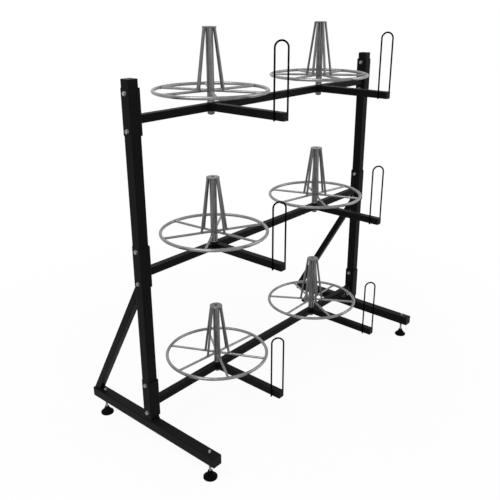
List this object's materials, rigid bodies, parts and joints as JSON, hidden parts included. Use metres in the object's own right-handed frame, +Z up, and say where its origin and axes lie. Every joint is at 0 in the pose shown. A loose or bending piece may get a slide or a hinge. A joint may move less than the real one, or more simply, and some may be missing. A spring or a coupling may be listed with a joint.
{
  "type": "cable reel rack",
  "caption": "Free-standing steel rack whose crossbeams carry turntable reels for cable coils, each with a guide hoop on an arm in front, on levelling feet.",
  "frame": {"origin": "on the floor, midway between the two side frames and midway along the base rails", "axes": "+X along the crossbeams towards the right-hand side frame, +Y towards the braces at the back, +Z up"},
  "size_m": [1.8068, 0.866, 1.904],
  "materials": {
    "frame_black": "satin black powder coat",
    "plug_black": "moulded, fine grain",
    "hoop_black": "semi-gloss black paint",
    "reel_zinc": "bright zinc plate",
    "axle_steel": "turned and oiled",
    "zinc_fastener": "bright zinc plate",
    "dark_fastener": "dark zinc plate",
    "thrust_nylon": "natural nylon",
    "foot_black": "moulded pad on a zinc-plated stud"
  },
  "bodies": {
    "frame": {"left_base_rail": "frame_black", "right_base_rail": "frame_black", "left_post": "frame_black", "right_post": "frame_black", "left_brace": "frame_black", "right_brace": "frame_black", "lower_beam": "frame_black", "middle_beam": "frame_black", "upper_beam": "frame_black", "post_brackets": "frame_black", "tube_end_plugs": "plug_black", "arm_end_plugs": "plug_black", "bracket_bolts": "zinc_fastener", "bracket_washers": "zinc_fastener", "bracket_nuts": "zinc_fastener", "axle_nuts": "dark_fastener", "foot_nuts": "dark_fastener", "thrust_washers": "thrust_nylon", "reel_axles": "axle_steel", "lower_left_arm": "frame_black", "lower_left_guide_hoop": "hoop_black", "lower_right_arm": "frame_black", "lower_right_guide_hoop": "hoop_black", "middle_left_arm": "frame_black", "middle_left_guide_hoop": "hoop_black", "middle_right_arm": "frame_black", "middle_right_guide_hoop": "hoop_black", "upper_left_arm": "frame_black", "upper_left_guide_hoop": "hoop_black", "upper_right_arm": "frame_black", "upper_right_guide_hoop": "hoop_black"},
    "lower_left_reel": {"lower_left_reel_hub": "reel_zinc", "lower_left_reel_ring": "reel_zinc", "lower_left_reel_spokes": "reel_zinc", "lower_left_reel_cone": "reel_zinc"},
    "lower_right_reel": {"lower_right_reel_hub": "reel_zinc", "lower_right_reel_ring": "reel_zinc", "lower_right_reel_spokes": "reel_zinc", "lower_right_reel_cone": "reel_zinc"},
    "middle_left_reel": {"middle_left_reel_hub": "reel_zinc", "middle_left_reel_ring": "reel_zinc", "middle_left_reel_spokes": "reel_zinc", "middle_left_reel_cone": "reel_zinc"},
    "middle_right_reel": {"middle_right_reel_hub": "reel_zinc", "middle_right_reel_ring": "reel_zinc", "middle_right_reel_spokes": "reel_zinc", "middle_right_reel_cone": "reel_zinc"},
    "upper_left_reel": {"upper_left_reel_hub": "reel_zinc", "upper_left_reel_ring": "reel_zinc", "upper_left_reel_spokes": "reel_zinc", "upper_left_reel_cone": "reel_zinc"},
    "upper_right_reel": {"upper_right_reel_hub": "reel_zinc", "upper_right_reel_ring": "reel_zinc", "upper_right_reel_spokes": "reel_zinc", "upper_right_reel_cone": "reel_zinc"},
    "front_left_foot": {"front_left_levelling_foot": "foot_black"},
    "front_right_foot": {"front_right_levelling_foot": "foot_black"},
    "rear_left_foot": {"rear_left_levelling_foot": "foot_black"},
    "rear_right_foot": {"rear_right_levelling_foot": "foot_black"}
  },
  "joints": [
    {"name": "lower_left_reel_spin", "type": "hinge", "parent": "frame", "child": "lower_left_reel", "pos_m": [-0.416, 0, 0.2478], "axis": [0, 0, 1], "continuous": true},
    {"name": "lower_right_reel_spin", "type": "hinge", "parent": "frame", "child": "lower_right_reel", "pos_m": [0.416, 0, 0.2478], "axis": [0, 0, 1], "continuous": true},
    {"name": "middle_left_reel_spin", "type": "hinge", "parent": "frame", "child": "middle_left_reel", "pos_m": [-0.416, 0, 0.9168], "axis": [0, 0, 1], "continuous": true},
    {"name": "middle_right_reel_spin", "type": "hinge", "parent": "frame", "child": "middle_right_reel", "pos_m": [0.416, 0, 0.9168], "axis": [0, 0, 1], "continuous": true},
    {"name": "upper_left_reel_spin", "type": "hinge", "parent": "frame", "child": "upper_left_reel", "pos_m": [-0.416, 0, 1.5858], "axis": [0, 0, 1], "continuous": true},
    {"name": "upper_right_reel_spin", "type": "hinge", "parent": "frame", "child": "upper_right_reel", "pos_m": [0.416, 0, 1.5858], "axis": [0, 0, 1], "continuous": true},
    {"name": "front_left_foot_screw", "type": "slide", "parent": "frame", "child": "front_left_foot", "axis": [0, 0, -1], "range_m": [-0.02, 0.04]},
    {"name": "front_right_foot_screw", "type": "slide", "parent": "frame", "child": "front_right_foot", "axis": [0, 0, -1], "range_m": [-0.02, 0.04]},
    {"name": "rear_left_foot_screw", "type": "slide", "parent": "frame", "child": "rear_left_foot", "axis": [0, 0, -1], "range_m": [-0.02, 0.04]},
    {"name": "rear_right_foot_screw", "type": "slide", "parent": "frame", "child": "rear_right_foot", "axis": [0, 0, -1], "range_m": [-0.02, 0.04]}
  ]
}
